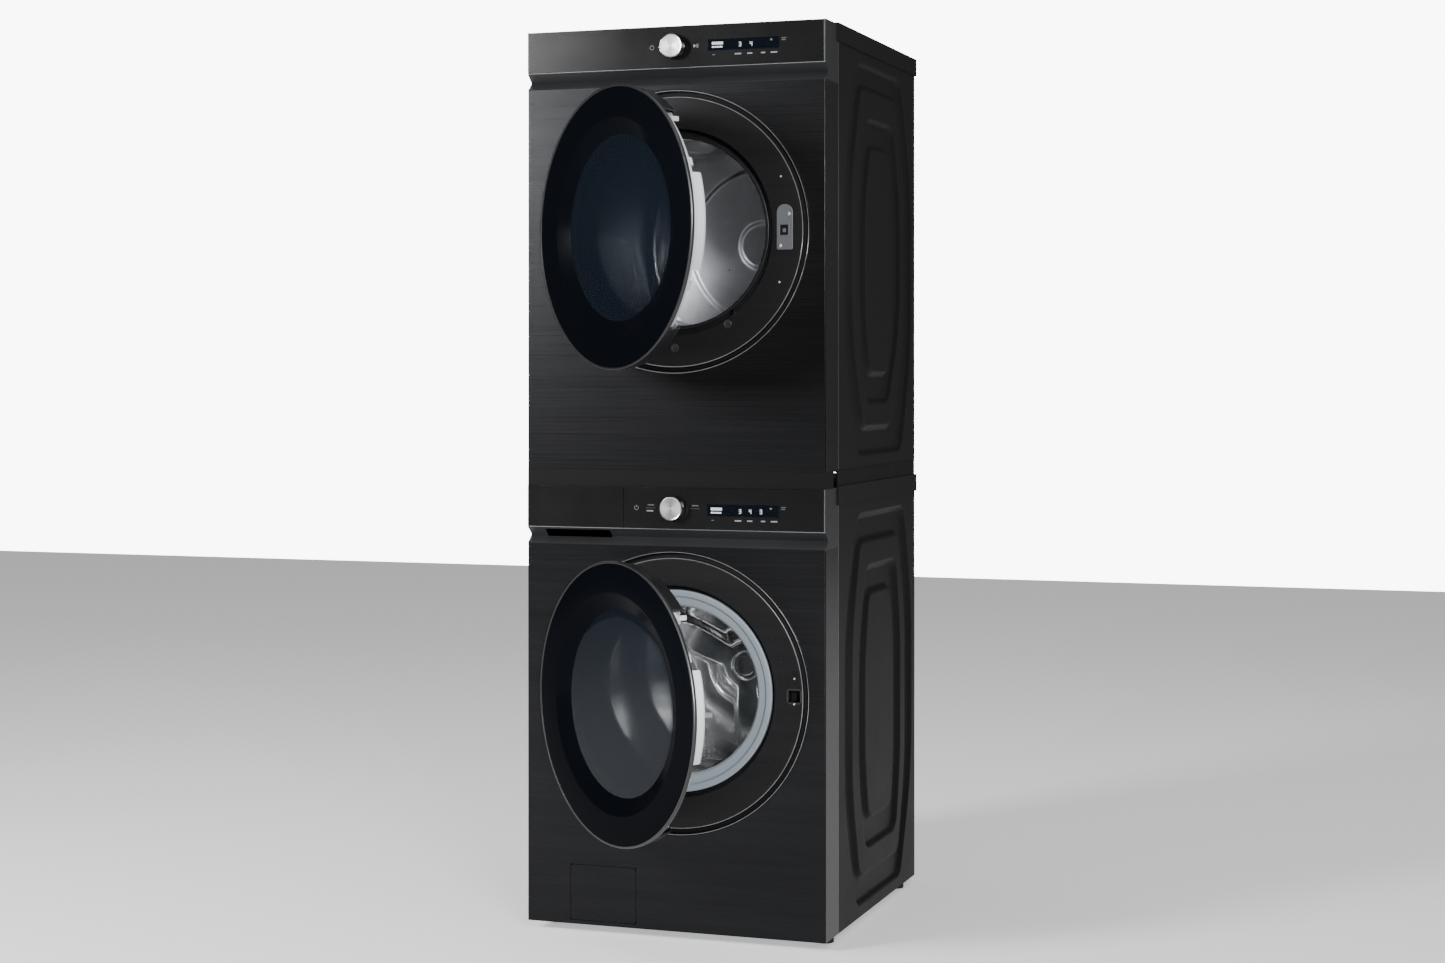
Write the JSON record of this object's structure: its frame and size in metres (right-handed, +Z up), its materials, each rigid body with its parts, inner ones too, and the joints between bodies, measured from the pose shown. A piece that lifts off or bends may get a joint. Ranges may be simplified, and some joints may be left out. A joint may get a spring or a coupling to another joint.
{
  "type": "washer dryer stack",
  "caption": "Front-loading washing machine with a clothes dryer stacked on it, with opening round doors, turning drums, dials and a detergent drawer.",
  "frame": {"origin": "on the floor, under the middle of the bounding box at rest, which takes in the open doors and the exhaust pipe", "axes": "+X right of someone facing the doors, +Y to the back, +Z up"},
  "size_m": [0.693, 1.1362, 1.982],
  "materials": {
    "black_stainless": "brushed black-coated stainless steel, horizontal grain",
    "black_painted_steel": "fine textured black paint",
    "black_plate": "satin black with fine horizontal grain",
    "galvanised_steel": "bare galvanised sheet",
    "gloss_black_panel": "polished black panel",
    "black_glass": "black printed edge round a tinted window",
    "black_rim": "black moulded band",
    "pale_liner": "light grey moulding",
    "clear_glass": "clear pressed glass",
    "spun_aluminium": "spun face with circular grain",
    "hinge_steel": "zinc-plated steel",
    "lock_plastic": "black plastic",
    "latch_zinc": "grey painted plate",
    "grey_rubber": "blue-grey moulded rubber",
    "tub_plastic": "glass-filled polypropylene",
    "concrete": "cast counterweight, iron standing in for concrete",
    "drum_steel": "polished stainless steel",
    "shaft_steel": "ground steel",
    "motor_iron": "laminated steel",
    "white_plastic": "white polypropylene",
    "black_rubber": "black rubber"
  },
  "bodies": {
    "cabinet": {"dryer_air_duct": "galvanised_steel", "dryer_base": "galvanised_steel", "dryer_belt": "black_rubber", "dryer_control_glass": "gloss_black_panel", "dryer_control_housing": "black_painted_steel", "dryer_door_surround": "black_plate", "dryer_drum_supports": "galvanised_steel", "dryer_front_panel": "black_stainless", "dryer_latch_plate": "latch_zinc", "dryer_motor": "motor_iron", "dryer_rear_panel": "galvanised_steel", "dryer_side_panels": "black_painted_steel", "dryer_top_lid": "black_painted_steel", "hinge_brackets": "hinge_steel", "stack_rails": "black_painted_steel", "stack_trim": "black_painted_steel", "washer_base": "galvanised_steel", "washer_bearings": "shaft_steel", "washer_control_glass": "gloss_black_panel", "washer_control_housing": "black_painted_steel", "washer_counterweight": "concrete", "washer_door_lock": "lock_plastic", "washer_door_surround": "black_plate", "washer_drain_pump": "white_plastic", "washer_drawer_housing": "lock_plastic", "washer_feet": "black_rubber", "washer_front_panel": "black_stainless", "washer_gasket": "grey_rubber", "washer_inlet_valves": "lock_plastic", "washer_motor_stator": "motor_iron", "washer_rear_panel": "galvanised_steel", "washer_side_panels": "black_painted_steel", "washer_suspension": "galvanised_steel", "washer_top_lid": "black_painted_steel", "washer_tub": "tub_plastic"},
    "washer_door": {"washer_door_glass": "black_glass", "washer_door_rim": "black_rim", "washer_door_liner": "pale_liner", "washer_door_bowl": "clear_glass", "washer_door_hinge_leaf": "hinge_steel", "washer_door_hook": "hinge_steel"},
    "dryer_door": {"dryer_door_glass": "black_glass", "dryer_door_rim": "black_rim", "dryer_door_liner": "pale_liner", "dryer_door_inner_glass": "clear_glass", "dryer_door_hinge_leaf": "hinge_steel"},
    "washer_dial": {"washer_dial": "spun_aluminium"},
    "dryer_dial": {"dryer_dial": "spun_aluminium"},
    "washer_drum": {"washer_drum": "drum_steel", "washer_drum_lifters": "drum_steel", "washer_drum_shaft": "shaft_steel"},
    "dryer_drum": {"dryer_drum": "drum_steel", "dryer_drum_lifters": "drum_steel"},
    "dryer_motor_shaft": {"dryer_motor_shaft": "shaft_steel"},
    "dryer_roller_left": {"dryer_roller_left": "black_rubber"},
    "dryer_roller_right": {"dryer_roller_right": "black_rubber"},
    "detergent_drawer": {"washer_drawer_front": "gloss_black_panel", "washer_drawer_tray": "white_plastic"},
    "drain_flap": {"washer_drain_flap": "black_stainless"},
    "lint_filter": {"dryer_lint_filter": "white_plastic"}
  },
  "joints": [
    {"name": "washer_door_hinge", "type": "hinge", "parent": "cabinet", "child": "washer_door", "pos_m": [-0.272, -0.21786, 0.535], "axis": [0, 0, -1], "range_deg": [-35.8, 94.2]},
    {"name": "dryer_door_hinge", "type": "hinge", "parent": "cabinet", "child": "dryer_door", "pos_m": [-0.272, -0.21786, 1.533], "axis": [0, 0, -1], "range_deg": [-36.4, 93.6]},
    {"name": "washer_dial_turn", "type": "hinge", "parent": "cabinet", "child": "washer_dial", "pos_m": [0, -0.18686, 0.9355], "axis": [0, 1, 0], "continuous": true},
    {"name": "dryer_dial_turn", "type": "hinge", "parent": "cabinet", "child": "dryer_dial", "pos_m": [0, -0.18686, 1.9335], "axis": [0, 1, 0], "continuous": true},
    {"name": "washer_drum_spin", "type": "hinge", "parent": "cabinet", "child": "washer_drum", "pos_m": [0, 0.11314, 0.539], "axis": [0, 1, 0], "continuous": true},
    {"name": "dryer_drum_spin", "type": "hinge", "parent": "cabinet", "child": "dryer_drum", "pos_m": [0, 0.11314, 1.533], "axis": [0, 1, 0], "continuous": true},
    {"name": "dryer_motor_spin", "type": "hinge", "parent": "cabinet", "child": "dryer_motor_shaft", "pos_m": [0.17, 0.11314, 1.128], "axis": [0, 1, 0], "continuous": true},
    {"name": "dryer_roller_left_spin", "type": "hinge", "parent": "cabinet", "child": "dryer_roller_left", "pos_m": [-0.1652, -0.05686, 1.24687], "axis": [0, 1, 0], "continuous": true},
    {"name": "dryer_roller_right_spin", "type": "hinge", "parent": "cabinet", "child": "dryer_roller_right", "pos_m": [0.1652, -0.05686, 1.24687], "axis": [0, 1, 0], "continuous": true},
    {"name": "detergent_drawer_slide", "type": "slide", "parent": "cabinet", "child": "detergent_drawer", "axis": [0, -1, 0], "range_m": [0, 0.2]},
    {"name": "drain_flap_hinge", "type": "hinge", "parent": "cabinet", "child": "drain_flap", "pos_m": [-0.164, -0.18386, 0.0335], "axis": [1, 0, 0], "range_deg": [0, 85]},
    {"name": "lint_filter_slide", "type": "slide", "parent": "cabinet", "child": "lint_filter", "axis": [0, 0, 1], "range_m": [0, 0.24]}
  ],
  "couplings": [
    {"joint": "dryer_motor_spin", "follows": "dryer_drum_spin", "ratio": 21.719},
    {"joint": "dryer_roller_left_spin", "follows": "dryer_drum_spin", "ratio": -10},
    {"joint": "dryer_roller_right_spin", "follows": "dryer_drum_spin", "ratio": -10}
  ]
}
